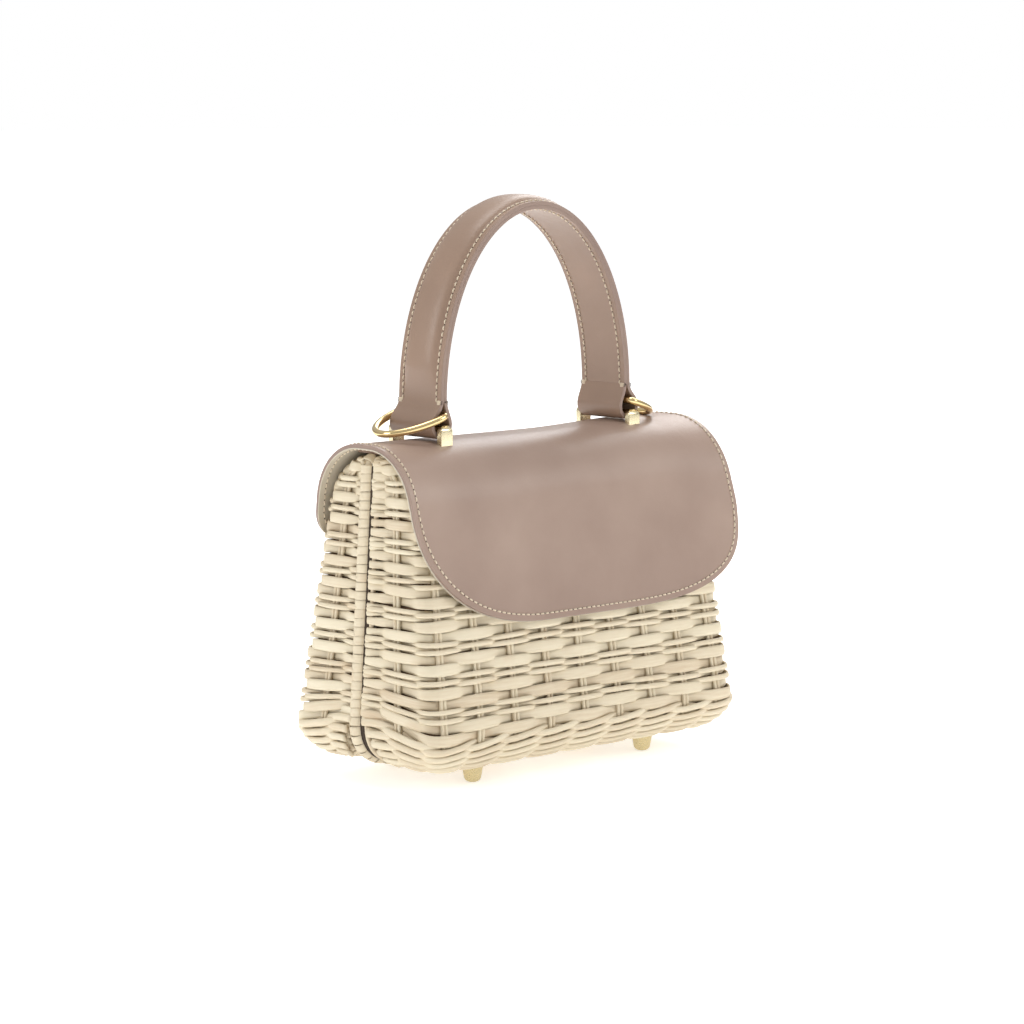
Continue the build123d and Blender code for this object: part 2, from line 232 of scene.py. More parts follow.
def soft_box(name, place, size, watts, colour=(1, 1, 1)):
    """A square light that points at the middle of the bag."""
    light = bpy.data.lights.new(name, "AREA")
    light.size = size
    light.energy = watts
    light.color = colour
    box = add_to_scene(name, light)
    box.location = place
    box.rotation_euler = (Vector(place) - middle_of_bag).to_track_quat("Z", "Y").to_euler()


soft_box("key_light", (1.2, -1.6, 1.2), 0.9, 10.5, (1, 0.985, 0.96))
soft_box("top_light", (0.1, 0.3, 2.0), 1.2, 17)
soft_box("left_light", (-1.8, 0.75, 0.95), 0.7, 9)
soft_box("back_light", (1.45, 0.8, 1.4), 1.2, 17)

world = bpy.data.worlds.new("studio")
bpy.context.scene.world = world
world.use_nodes = True
sky = world.node_tree
seen = sky.nodes["Background"]
seen.inputs["Color"].default_value = (1, 1, 1, 1)
seen.inputs["Strength"].default_value = 1.0
shining = node(sky, "Background", Strength=0.66)
direction = node(sky, "TexCoord")
height = node(sky, "SeparateXYZ")
room = node(sky, "ValToRGB")
room.color_ramp.elements[0].color = (0.75, 0.75, 0.75, 1)
for stop, shade in ((0.5, 0.66), (0.55, 0.5), (0.66, 0.82)):
    room.color_ramp.elements.new(stop).color = (shade, shade, shade, 1)
upwards = node(sky, "MapRange", From_Min=-1)
ray = node(sky, "LightPath")
choose = node(sky, "MixShader")
wire(sky, (
    (direction, "Generated", height, "Vector"),
    (height, "Z", upwards, "Value"),
    (upwards, "Result", room, "Fac"),
    (room, "Color", shining, "Color"),
    (ray, "Is Camera Ray", choose, "Fac"),
    (shining, "Background", choose, 1),
    (seen, "Background", choose, 2),
    (choose, "Shader", sky.nodes["World Output"], "Surface"),
))
print("stage ready")

# %% [markdown]
# ## Shared surface effects
# Three effects turn up on several finishes: fibres that run along a cane or a
# thread, the pores and creases of leather, and slow patches of lighter and
# darker tone. Each is a node group that gives out masks only.


# %% An empty effect group
def new_group(name, inputs, outputs):
    """An empty effect group with float inputs and named outputs."""
    group = bpy.data.node_groups.new(name, "ShaderNodeTree")
    group.interface.new_socket("Vector", in_out="INPUT", socket_type="NodeSocketVector")
    for key, value in inputs.items():
        socket = group.interface.new_socket(key, in_out="INPUT", socket_type="NodeSocketFloat")
        socket.default_value = value
    for key in outputs:
        group.interface.new_socket(key, in_out="OUTPUT", socket_type="NodeSocketFloat")
    inside = group.nodes.new("NodeGroupInput")
    outside = group.nodes.new("NodeGroupOutput")
    return group, inside, outside


# %% Fibres along a cane or thread
fibre_group, fibre_in, fibre_out = new_group("fibres", {"Fineness": 1.0}, ["Fibre", "Knot"])
fibre_scale = node(fibre_group, "VectorMath", operation="SCALE")
fibre_map = node(fibre_group, "Mapping", Scale=(60, 2600, 1))
fibre_noise = node(fibre_group, "TexNoise", Scale=1.0, Detail=4.0, Roughness=0.6)
knot_map = node(fibre_group, "Mapping", Scale=(26, 90, 1))
knot_noise = node(fibre_group, "TexNoise", Scale=1.0, Detail=3.0)
knot_ramp = node(fibre_group, "MapRange", From_Min=0.62, From_Max=0.8)
wire(fibre_group, (
    (fibre_in, "Vector", fibre_scale, 0),
    (fibre_in, "Fineness", fibre_scale, "Scale"),
    (fibre_scale, "Vector", fibre_map, "Vector"),
    (fibre_map, "Vector", fibre_noise, "Vector"),
    (fibre_noise, "Fac", fibre_out, "Fibre"),
    (fibre_scale, "Vector", knot_map, "Vector"),
    (knot_map, "Vector", knot_noise, "Vector"),
    (knot_noise, "Fac", knot_ramp, "Value"),
    (knot_ramp, "Result", fibre_out, "Knot"),
))

# %% Pores and creases of leather
hide_group, hide_in, hide_out = new_group("hide_grain", {"Pore_Scale": 1500.0}, ["Grain", "Patch"])
hide_pores = node(hide_group, "TexVoronoi", feature="SMOOTH_F1")
hide_creases = node(hide_group, "TexNoise", Scale=420.0, Detail=5.0, Roughness=0.55)
hide_patch = node(hide_group, "TexNoise", Scale=16.0, Detail=4.0, Roughness=0.5)
hide_sum = node(hide_group, "Math", operation="MULTIPLY_ADD")
hide_sum.inputs[1].default_value = 0.55
wire(hide_group, (
    (hide_in, "Vector", hide_pores, "Vector"),
    (hide_in, "Pore_Scale", hide_pores, "Scale"),
    (hide_in, "Vector", hide_creases, "Vector"),
    (hide_in, "Vector", hide_patch, "Vector"),
    (hide_pores, "Distance", hide_sum, 0),
    (hide_creases, "Fac", hide_sum, 2),
    (hide_sum, "Value", hide_out, "Grain"),
    (hide_patch, "Fac", hide_out, "Patch"),
))
print("effect groups:", fibre_group.name, hide_group.name)

# %% [markdown]
# ## Finishes
# Peeled cane differs from strand to strand, so each strand carries its own
# tone as an attribute, and its fibres follow the strand through the UV map.
# Leather reads the bag's own coordinates. Thread and metal are simple.


# %% Material helpers
def add_group(tree, group, **values):
    made = tree.nodes.new("ShaderNodeGroup")
    made.node_tree = group
    for key, value in values.items():
        made.inputs[key].default_value = value
    return made


def mix_colours(tree, factor, low, high):
    """A Mix node between two colours; low may be a socket."""
    mix = tree.nodes.new("ShaderNodeMix")
    mix.data_type = "RGBA"
    tree.links.new(factor, mix.inputs["Factor"])
    for socket, colour in ((mix.inputs[6], low), (mix.inputs[7], high)):
        if isinstance(colour, tuple):
            socket.default_value = (*colour, 1)
        else:
            tree.links.new(colour, socket)
    return mix.outputs[2]


def ranged(tree, value, low, high, out_low=0.0, out_high=1.0):
    """Stretches value from low..high to out_low..out_high."""
    made = node(tree, "MapRange", From_Min=low, From_Max=high,
                To_Min=out_low, To_Max=out_high)
    tree.links.new(value, made.inputs["Value"])
    return made.outputs["Result"]


def surface(tree, shader, colour, roughness=None):
    tree.links.new(colour, shader.inputs["Base Color"])
    if roughness:
        tree.links.new(roughness, shader.inputs["Roughness"])


def add_bump(tree, shader, height, strength, distance):
    bump = node(tree, "Bump", Strength=strength, Distance=distance)
    tree.links.new(height, bump.inputs["Height"])
    tree.links.new(bump.outputs["Normal"], shader.inputs["Normal"])


# %% Cane
cane, tree, shader = new_material("peeled_cane", 0.5)
cane_uv = node(tree, "UVMap", uv_map="UVMap")
fibres = add_group(tree, fibre_group)
wire(tree, ((cane_uv, "UV", fibres, "Vector"),))
tone = node(tree, "Attribute", attribute_name="tone")
strand_colour = mix_colours(tree, tone.outputs["Fac"], (0.60, 0.47, 0.31), (0.755, 0.665, 0.485))
fibre_share = ranged(tree, fibres.outputs["Fibre"], 0.35, 0.75, 0.0, 0.55)
streaked = mix_colours(tree, fibre_share, strand_colour, (0.82, 0.75, 0.59))
knot_share = ranged(tree, fibres.outputs["Knot"], 0, 1, 0, 0.5)
knotted = mix_colours(tree, knot_share, streaked, (0.55, 0.36, 0.2))
surface(tree, shader, knotted, ranged(tree, fibres.outputs["Fibre"], 0.3, 0.8, 0.42, 0.6))
add_bump(tree, shader, fibres.outputs["Fibre"], 0.35, 0.0003)


# %% Leather
def leather_material(name, dark, light, roughness):
    material, tree, shader = new_material(name, roughness)
    place = node(tree, "TexCoord")
    grain = add_group(tree, hide_group)
    wire(tree, ((place, "Object", grain, "Vector"),))
    patch = ranged(tree, grain.outputs["Patch"], 0.35, 0.68)
    mottled = mix_colours(tree, patch, dark, light)
    sheen = ranged(tree, grain.outputs["Grain"], 0.3, 0.9, roughness - 0.05, roughness + 0.08)
    surface(tree, shader, mottled, sheen)
    add_bump(tree, shader, grain.outputs["Grain"], 0.16, 0.0004)
    return material


flap_leather = leather_material(
    "flap_leather", (0.318, 0.222, 0.176), (0.385, 0.278, 0.222), 0.36)
handle_leather = leather_material(
    "handle_leather", (0.282, 0.186, 0.132), (0.34, 0.228, 0.164), 0.34)
edge_paint = leather_material("edge_paint", (0.27, 0.185, 0.15), (0.33, 0.235, 0.19), 0.42)
suede = leather_material("suede_underside", (0.52, 0.46, 0.36), (0.68, 0.62, 0.51), 0.9)
# Near-black colours for a strip that stands for the shadow in the seam between the halves: painted
# shadow.
seam_shadow_strip = leather_material("seam_shadow_strip", (0.045, 0.03, 0.02), (0.085, 0.058, 0.04), 0.8)
loop_dark = leather_material("loop_leather", (0.26, 0.165, 0.12), (0.32, 0.21, 0.155), 0.4)

# %% Thread
thread, tree, shader = new_material("waxed_thread", 0.55)
thread_uv = node(tree, "UVMap", uv_map="UVMap")
twist = add_group(tree, fibre_group, Fineness=3.0)
wire(tree, ((thread_uv, "UV", twist, "Vector"),))
thread_colour = mix_colours(tree, twist.outputs["Fibre"], (0.62, 0.50, 0.36), (0.82, 0.72, 0.56))
thread_tone = node(tree, "Attribute", attribute_name="tone")
# Thread marks with a tone of 0 turn near black: painted shade in the needle holes between
# stitches.
hole_shade_mask = ranged(tree, thread_tone.outputs["Fac"], 0.02, 0.04)
surface(tree, shader, mix_colours(tree, hole_shade_mask, (0.06, 0.035, 0.025), thread_colour))
add_bump(tree, shader, twist.outputs["Fibre"], 0.3, 0.0002)


# %% Metal
def metal_material(name, dark, light, roughness, variation):
    """Plated metal: faint patches of tone, and fine rub marks in the roughness."""
    material, tree, shader = new_material(name, roughness, 1.0)
    place = node(tree, "TexCoord")
    patches = node(tree, "TexNoise", Scale=90.0, Detail=3.0)
    rubs = node(tree, "TexNoise", Scale=1400.0, Detail=4.0)
    wire(tree, ((place, "Object", patches, "Vector"), (place, "Object", rubs, "Vector")))
    plated = mix_colours(tree, patches.outputs["Fac"], dark, light)
    rubbed = ranged(tree, rubs.outputs["Fac"], 0.3, 0.75, roughness, roughness + variation)
    surface(tree, shader, plated, rubbed)
    return material


gold = metal_material("polished_gold", (0.72, 0.54, 0.25), (0.84, 0.66, 0.36), 0.1, 0.1)
post_gold = metal_material("cast_gold", (0.76, 0.66, 0.42), (0.88, 0.78, 0.54), 0.2, 0.12)
pale_gold = metal_material("satin_pale_gold", (0.56, 0.47, 0.27), (0.70, 0.61, 0.38), 0.22, 0.12)
steel = metal_material("nickel_plate", (0.60, 0.60, 0.60), (0.70, 0.69, 0.67), 0.2, 0.15)

# %% Lining cloth and board
lining_cloth, tree, shader = new_material("lining_cloth", 0.85)
cloth_place = node(tree, "TexCoord")
warp = node(tree, "TexWave", Scale=260.0, Distortion=0.4)
weft = node(tree, "TexWave", Scale=260.0, Distortion=0.4, bands_direction="Z")
threads_crossed = node(tree, "Math", operation="MULTIPLY")
wire(tree, (
    (cloth_place, "Object", warp, "Vector"),
    (cloth_place, "Object", weft, "Vector"),
    (warp, "Fac", threads_crossed, 0),
    (weft, "Fac", threads_crossed, 1),
))
crossed = threads_crossed.outputs["Value"]
surface(tree, shader, mix_colours(tree, crossed, (0.16, 0.095, 0.055), (0.30, 0.19, 0.12)))
add_bump(tree, shader, crossed, 0.4, 0.0003)
print("finishes:", len(bpy.data.materials))

# %% [markdown]
# ## The form that the canes follow
# A weaver goes round a half basket in a U: along one end, round the corner,
# across the face, and back along the other end. So one number, `level`, says
# which U a point lies on, counted along the face's profile from the edge of
# the floor, and a second, `along`, is the distance from the middle of the U.

# %% Sizes of the woven box, in millimetres
half_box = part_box("basket_front")
low = half_box[0].z / mm
high = half_box[1].z / mm
lean_width = 0.0655
lean_depth = 0.157
widest_level = 34.0
half_width_there = 109.0
half_depth_there = 51.0
base_radius = 22.0
shoulder_radius = 23.0
end_top_radius = 5.0
corner_radius = {FRONT: 11.0, BACK: 7.0}
smallest_corner = 3.0
stake_depth = 2.6


def half_depth(z):
    return half_depth_there - lean_depth * (z - widest_level)


def half_width(z):
    return half_width_there - lean_width * (z - widest_level)


base_length = base_radius * quarter
wall_bottom = low + base_radius
wall_top = high - shoulder_radius
wall_length = (wall_top - wall_bottom) * math.hypot(1, lean_depth)
shoulder_length = shoulder_radius * quarter
end_straight = shoulder_radius - end_top_radius
end_shoulder = end_straight + end_top_radius * quarter
floor_depth = half_depth(low) - base_radius
wall_start = base_length
shoulder_start = wall_start + wall_length
top_start = shoulder_start + shoulder_length
top_depth = half_depth(high) - shoulder_radius
print("a U runs over", round(floor_depth + top_start + top_depth), "mm of profile")


# %% Profiles of the face and of the end
def profile_at(level, reach, lean, is_end):
    """Distance from the middle plane, height, and rise of the outward normal."""
    tilt = math.atan(lean)
    if level < 0:
        return reach(low) - base_radius + level, low, -quarter
    if level < wall_start:
        turn = level / base_radius
        z = low + base_radius * (1 - math.cos(turn))
        rise = -quarter + turn * (quarter + tilt) / quarter
        return reach(z) - base_radius * (1 - math.sin(turn)), z, rise
    if level < shoulder_start:
        z = wall_bottom + (wall_top - wall_bottom) * (level - wall_start) / wall_length
        return reach(z), z, tilt
    share = min((level - shoulder_start) / shoulder_length, 1.0)
    radius = end_top_radius if is_end else shoulder_radius
    straight = end_straight if is_end else 0.0
    distance = share * (end_shoulder if is_end else shoulder_length)
    turn = max(distance - straight, 0.0) / radius
    z = wall_top + min(distance, straight) + radius * math.sin(turn)
    inset = radius * (1 - math.cos(turn)) + max(level - top_start, 0.0)
    return reach(z) - inset, z, tilt + (quarter - tilt) * turn / quarter


level_grid = np.arange(-floor_depth, top_start + top_depth, 0.5)
face_table = np.array([profile_at(v, half_depth, lean_depth, False) for v in level_grid]).T
end_table = np.array([profile_at(v, half_width, lean_width, True) for v in level_grid]).T


def u_sizes(level, side):
    """Face profile, end profile and corner radius of the U at each level."""
    face = [np.interp(level, level_grid, row) for row in face_table]
    end = [np.interp(level, level_grid, row) for row in end_table]
    under_floor = np.minimum(level, 0)
    rounded = np.maximum(corner_radius[side] + 0.3 * under_floor, smallest_corner)
    rounded = np.minimum(rounded, 0.9 * face[0])
    return face, end, rounded


def place_on_u(along, level, depth, side):
    """Points and outward normals, in millimetres, depth below the surface."""
    along, level, depth = np.broadcast_arrays(
        np.asarray(along, float), np.asarray(level, float), np.asarray(depth, float)
    )
    (face_y, face_z, face_rise), (end_x, end_z, end_rise), r = u_sizes(level, side)
    straight = end_x - r
    distance = np.abs(along) - straight
    turn = np.clip(distance / r, 0, quarter)
    blend = turn / quarter
    blend = blend * blend * (3 - 2 * blend)
    past = np.maximum(distance - r * quarter, 0)
    x = np.minimum(np.abs(along), straight) + r * np.sin(turn)
    y = face_y - r + r * np.cos(turn) - past
    z = face_z + (end_z - face_z) * blend
    rise = face_rise + (end_rise - face_rise) * blend
    hand = np.sign(along + 1e-9)
    normal = np.stack([
        np.sin(turn) * np.cos(rise) * hand, side * np.cos(turn) * np.cos(rise), np.sin(rise)
    ], -1)
    point = np.stack([x * hand, side * y, z], -1)
    return point - normal * depth[..., None], normal


def along_of_end(level, y, side):
    """How far along its U a point of the end lies, at distance y from the seam."""
    (face_y, _, _), (end_x, _, _), r = u_sizes(level, side)
    return end_x - r + r * quarter + (face_y - r - y)


# %% [markdown]
# ## Strands
# Canes, splints, wraps and stitches are all thin solid strands, so one
# collector makes them: it sweeps an oval along a path, keeps the flat side to
# the surface, and stores each strand's tone and its running length as UV.


# %% A collector of strands
class Strands:
    def __init__(self):
        self.points, self.faces, self.uvs, self.tones = [], [], [], []
        self.count = 0

    def add(self, path, normals, half_wide, half_high, sides=6, tone=0.5, closed=False, power=1.0):
        """Sweeps an oval along path (millimetres); a power below 1 squares it."""
        path = np.asarray(path, float)
        steps = len(path)
        if closed:
            tangent = np.roll(path, -1, 0) - np.roll(path, 1, 0)
        else:
            tangent = np.gradient(path, axis=0)
        tangent /= np.linalg.norm(tangent, axis=1)[:, None] + 1e-12
        across = np.cross(tangent, normals)
        across /= np.linalg.norm(across, axis=1)[:, None] + 1e-12
        outward = np.cross(across, tangent)
        wide = np.broadcast_to(half_wide, steps)[:, None, None]
        tall = np.broadcast_to(half_high, steps)[:, None, None]
        angle = 2 * math.pi * (np.arange(sides) + 0.5) / sides
        cosine = np.sign(np.cos(angle)) * np.abs(np.cos(angle)) ** power
        sine = np.sign(np.sin(angle)) * np.abs(np.sin(angle)) ** power
        rings = (
            path[:, None]
            + across[:, None] * wide * cosine[None, :, None]
            + outward[:, None] * tall * sine[None, :, None]
        )
        start = self.count
        self.points.append(rings.reshape(-1, 3))
        self.count += steps * sides
        run = run_length(path)
        shift = chance.uniform(0, 400)
        girth = 2.0 * float(np.mean(wide) + np.mean(tall)) / sides
        for i in range(steps if closed else steps - 1):
            j = (i + 1) % steps
            far_run = run[j] if j else run[i] + float(np.linalg.norm(path[0] - path[i]))
            for k in range(sides):
                m = (k + 1) % sides
                self.faces.append((start + i * sides + k, start + i * sides + m,
                                   start + j * sides + m, start + j * sides + k))
                for a, b in ((run[i], k), (run[i], k + 1), (far_run, k + 1), (far_run, k)):
                    self.uvs.append(((a + shift) * mm, (b * girth + shift) * mm))
        if not closed:
            for ring, order in ((0, range(sides - 1, -1, -1)), (steps - 1, range(sides))):
                self.faces.append(tuple(start + ring * sides + k for k in order))
                self.uvs.extend(
                    ((run[ring] + shift) * mm, (k * girth + shift) * mm) for k in order)
        self.tones.append(np.full(steps * sides, tone))

    def to_object(self, name, material):
        mesh = bpy.data.meshes.new(name)
        points = np.concatenate(self.points) * mm
        mesh.from_pydata(points.tolist(), [], self.faces)
        uv_map = mesh.uv_layers.new(name="UVMap")
        uv_map.data.foreach_set("uv", np.array(self.uvs, np.float32).ravel())
        mesh.attributes.new("tone", "FLOAT", "POINT").data.foreach_set(
            "value", np.concatenate(self.tones).astype(np.float32)
        )
        mesh.shade_smooth()
        mesh.materials.append(material)
        print(name, "has", len(self.faces), "faces")
        return add_to_scene(name, mesh)


# %% [markdown]
# ## Weaving a half
# Pairs of round canes stand up the face, one pair on each end. Weavers pass in
# front of one pair and behind the next, and the row above does the opposite.
# The rows come in groups: two flat splints, then three thin canes. Low down,
# the rows of the face climb as they go round the corner to the rim.

# %% Where the stakes stand
stake_step = 0.2185
stake_shift = -0.017
face_stakes = [stake_shift + stake_step * i for i in range(-4, 5)]
rim_y = {FRONT: 3.4, BACK: 4.6}
end_stake_share = {FRONT: 0.5, BACK: 0.56}


def stake_places(level, side):
    """Distance along the U of each crossing at this level, from rim to rim."""
    (face_y, face_z, _), (end_x, _, _), r = u_sizes(level, side)
    full = half_width(face_z)
    face = [f * (full - (full - end_x) * f ** 4) for f in face_stakes]
    from_middle = end_stake_share[side] * min(half_depth(face_z), face_y * 1.15)
    end_pair = end_x - r + r * quarter + face_y - r - from_middle
    end_pair = max(end_pair, end_x - r + 0.55 * r * quarter)
    rim = along_of_end(level, rim_y[side], side)
    return [-rim, -end_pair, *face, end_pair, rim]


# %% How rows climb and where they ease
twine_bottom, twine_top = 6.4, 30.6
most_climb, corner_sag = 9.0, 2.2
corner_ease, rim_ease, rod_ease = 14.0, 11.0, 7.0


def climb(level, along, places, side):
    """How far a row that lies at this level on the face climbs towards the rim."""
    (_, _, _), (end_x, _, _), r = u_sizes(level, side)
    corner = end_x - r * 0.6
    round_end = smooth((np.abs(along) - corner) / (places[-1] - corner))
    if level > twine_top:
        rise = most_climb * math.exp(-(level - twine_top) / 15)
        sag = corner_sag * math.exp(-(level - twine_top) / 12)
    else:
        rise = most_climb * (level + floor_depth) / (twine_top + floor_depth)
        sag = corner_sag * max(0.0, level) / twine_top
    near_corner = np.exp(-(((np.abs(along) - corner + 12) / 26) ** 2))
    return rise * round_end - sag * near_corner


def row_points(places, reach, step):
    """Points along a row, and how many stakes it has passed at each."""
    along = np.linspace(-reach, reach, int(2 * reach / step))
    return along, np.interp(along, places, np.arange(len(places)))


def near_end(along, reach, length):
    """Rises from 0 to 1 over the last length of a row, at both ends."""
    return smooth(1 - (reach - np.abs(along)) / length)


def past_corner(along, places):
    """Rises from 0 to 1 as a row goes round the corner to the end."""
    return smooth((np.abs(along) - places[-3]) / corner_ease)


def wobble(count, size):
    """A slow random wander, the same each run."""
    knots = np.array([chance.gauss(0, size) for _ in range(9)])
    return np.interp(np.linspace(0, 8, count), np.arange(9), knots)


def cane_tone():
    return min(max(chance.gauss(0.6, 0.2), 0.05), 1.0)


# %% Rows of the plain weave
splint, fine_cane = 4.95, 2.0
half_high = {splint: 0.62, fine_cane: 0.85}
row_pattern = (splint, splint, fine_cane, fine_cane, fine_cane)
row_gap = 0.05


def weave_row(strands, side, level, nominal, phase):
    flat = nominal == splint
    places = stake_places(level, side)
    reach = places[-1] - (0 if side == FRONT else 1.0)
    along, crossing = row_points(places, reach, 2.6)
    count = len(along)
    wave = np.cos(math.pi * (crossing + phase))
    wave = np.sign(wave) * np.abs(wave) ** 0.8
    near_rim = near_end(along, reach, rim_ease)
    if side == FRONT:
        over_rod = near_end(along, reach, rod_ease)
        wave = wave * (1 - over_rod) + over_rod
    round_corner = past_corner(along, places)
    swing = 0.95 + half_high[nominal] + 0.25 * round_corner + 0.2 * near_rim
    depth = stake_depth - wave * swing
    levels = level + climb(level, along, places, side) + wobble(count, 0.3)
    if flat:
        wide = splint / 2 * (1.18 + 0.1 * wave) * (1 - 0.12 * round_corner) * (1 - 0.3 * near_rim)
    else:
        wide = fine_cane / 2 * (1.34 + 0.12 * wave) * (1 - 0.05 * round_corner)
    wide = wide + wobble(count, 0.07)
    tall = np.full(count, half_high[nominal])
    path, normals = place_on_u(along, levels, depth, side)
    if side == FRONT:
        path, normals, wide, tall = curl_ends(path, normals, wide, tall, wave, side)
    sides, power = (8, 0.75) if flat else (6, 0.9)
    strands.add(path, normals, wide, tall, sides, cane_tone(), power=power)


def curl_ends(path, normals, wide, tall, wave, side):
    """Wraps both ends of a row round the rod of the rim."""
    steps = 8
    turn_radius = 1.5 + tall[0]
    turns = np.linspace(0, math.radians(205), steps + 1)[1:]
    towards_seam = np.array([0.0, -side, 0.0])
    row = [path, normals, wide, tall]
    for index in (0, -1):
        out = normals[index]
        outside = wave[index] > 0
        centre = path[index] - out * turn_radius * (1 if outside else -1)
        angle = turns if outside else math.pi - turns
        spokes = np.cos(angle)[:, None] * out + np.sin(angle)[:, None] * towards_seam
        curl = [centre + spokes * turn_radius, spokes if outside else -spokes,
                np.full(steps, wide[index]), np.full(steps, tall[index])]
        if index == 0:
            row = [np.concatenate([more[::-1], kept]) for kept, more in zip(row, curl)]
        else:
            row = [np.concatenate([kept, more]) for kept, more in zip(row, curl)]
    return row


def weave_rows(strands, side):
    """Plain rows: up from the twining to the top, and from it under the floor."""
    level, row = twine_top, 0
    while level < top_start + 1.5:
        nominal = row_pattern[row % len(row_pattern)]
        weave_row(strands, side, level + nominal / 2, nominal, row)
        level += nominal + row_gap
        row += 1
    level, row = twine_bottom, len(row_pattern) - 1
    while level > -floor_depth + 4:
        nominal = row_pattern[row % len(row_pattern)]
        weave_row(strands, side, level - nominal / 2, nominal, row + 1)
        level -= nominal + row_gap
        row += len(row_pattern) - 1
    print("rows woven above and below the twining on side", side)


# %% [markdown]
# The foot of the basket is twined: two canes work as a pair, and at every
# stake one of them passes in front while the other passes behind. They swap
# between stakes, so the front shows short strokes like a rope's.


# %% Twined rows round the foot
twine_count = 5
twine_height = (twine_top - twine_bottom) / twine_count
twine_swing = 2.1


def twine_row(strands, side, level, start):
    for cane in (0, 1):
        places = stake_places(level, side)
        reach = places[-1] + (1.6 if side == FRONT else -1.5)
        along, crossing = row_points(places, reach, 1.9)
        turn = (crossing + cane + start) % 2 - 1
        out = np.interp(turn, (-1, -0.65, -0.3, 0, 0.4, 0.75, 1), (-1, -0.3, 0.8, 1, 1, 0.1, -1))
        if side == FRONT:
            over_rod = near_end(along, reach, rod_ease)
            out = out * (1 - over_rod) + 0.85 * over_rod
        rise = np.interp(turn, (-1, -0.6, -0.1, 0.45, 0.8, 1), (0.2, -0.9, -0.7, 0.6, 1.0, 0.2))
        levels = level + rise * twine_height * 0.27 + climb(level, along, places, side)
        levels = levels + wobble(len(along), 0.12)
        path, normals = place_on_u(along, levels, stake_depth - out * twine_swing, side)
        wide = 1.75 * (1 + 0.22 * past_corner(along, places))
        strands.add(path, normals, wide, 1.2, 7, cane_tone())


# %% Stakes
stake_radius, stake_apart = 1.05, 1.15


def stake_pair(strands, side, index):
    levels = np.arange(-floor_depth + 3.5, top_start + top_depth - 3.0, 2.6)
    centre = np.array([stake_places(v, side)[index] for v in levels])
    for offset in (-stake_apart, stake_apart):
        depth = stake_depth + wobble(len(levels), 0.1)
        path, normals = place_on_u(centre + offset, levels, depth, side)
        strands.add(path, normals, stake_radius, stake_radius, 6, cane_tone())


# %% Weave both halves
for side, name in halves:
    strands = Strands()
    weave_rows(strands, side)
    for i in range(twine_count):
        twine_row(strands, side, twine_bottom + twine_height * (i + 0.5), i)
    for index in range(1, len(face_stakes) + 3):
        stake_pair(strands, side, index)
    weave = strands.to_object(f"weave_{name}", cane)
    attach(weave, f"{name}_half")
    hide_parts(f"basket_{name}")

# %% [markdown]
# ## The rims
# A rod runs round the mouth of each half. On the front half the weavers turn
# over it; the back half's is bound closely with flat splint. The bindings are
# loops of one strip each, a little uneven, as a hand leaves them. A near-black
# strip just inside each half is painted shadow: it stands for the shade in the
# line between them.


# %% The line of the mouth
def mouth_line(depth, y, side, step):
    """Evenly spaced points round the mouth, with outward normals."""
    levels = np.arange(0, top_start, 0.5)
    right, right_normals = place_on_u(along_of_end(levels, y, side), levels, depth, side)
    right[:, 1] = side * y
    steps = 59
    flat_y = np.full(steps, side * y)
    x_low = np.linspace(0, right[0, 0], steps + 1)[:-1]
    x_high = np.linspace(right[-1, 0], 0, steps + 1)[1:]
    bottom = np.stack([x_low, flat_y, np.full(steps, low + depth)], -1)
    top = np.stack([x_high, flat_y, np.full(steps, high - depth)], -1)
    down, up = np.tile((0, 0, -1.0), (steps, 1)), np.tile((0, 0, 1.0), (steps, 1))
    line = np.concatenate([bottom, right, top])
    normals = np.concatenate([down, right_normals, up])
    mirror = np.array([-1.0, 1, 1])
    line = np.concatenate([line, line[::-1][1:] * mirror])
    normals = np.concatenate([normals, normals[::-1][1:] * mirror])
    run = run_length(line)
    count = int(run[-1] / step)
    places = np.arange(count) * run[-1] / count
    even = np.stack([np.interp(places, run, line[:, k]) for k in range(3)], -1)
    outward = np.stack([np.interp(places, run, normals[:, k]) for k in range(3)], -1)
    outward[:, 1] = 0
    return even, unit(outward)


# %% Bind the rims
rod_depth = 2.6
rod_half_wide, rod_radius = {FRONT: 1.4, BACK: 3.4}, {FRONT: 1.4, BACK: 2.1}
loop_half_y, loop_half_out = {FRONT: 2.2, BACK: 3.6}, {FRONT: 2.2, BACK: 2.75}
loop_pitch = 4.4


def bind(strands, centre, out, side, strip):
    """One loop of splint round the rim at centre."""
    turns = np.linspace(0, 2 * math.pi, 17)[:-1]
    mouth = np.array([0.0, -side, 0.0])
    rod = np.cross(out, mouth)
    lean = chance.uniform(0.1, 0.4)
    spokes = (np.cos(turns)[:, None] * out * loop_half_out[side]
              + np.sin(turns)[:, None] * mouth * loop_half_y[side])
    path = centre + spokes + rod * (lean * np.sin(turns))[:, None]
    tone = cane_tone() * 0.3 + 0.4
    strands.add(path, unit(spokes), strip / 2, 0.32, 8, tone, closed=True, power=0.5)


for side, name in halves:
    strands = Strands()
    rod_line, rod_out = mouth_line(rod_depth, rim_y[side], side, 3.0)
    strands.add(rod_line, rod_out, rod_half_wide[side], rod_radius[side], 8, 0.3, closed=True)
    for centre, out in zip(*mouth_line(rod_depth, rim_y[side], side, loop_pitch)):
        on_end = abs(out[0]) > 0.35
        if side == FRONT and on_end:
            continue
        bind(strands, centre, out, side, loop_pitch * chance.uniform(0.96, 1.06))
    rim = strands.to_object(f"rim_binding_{name}", cane)
    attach(rim, f"{name}_half")
    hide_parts(f"rim_{name}")

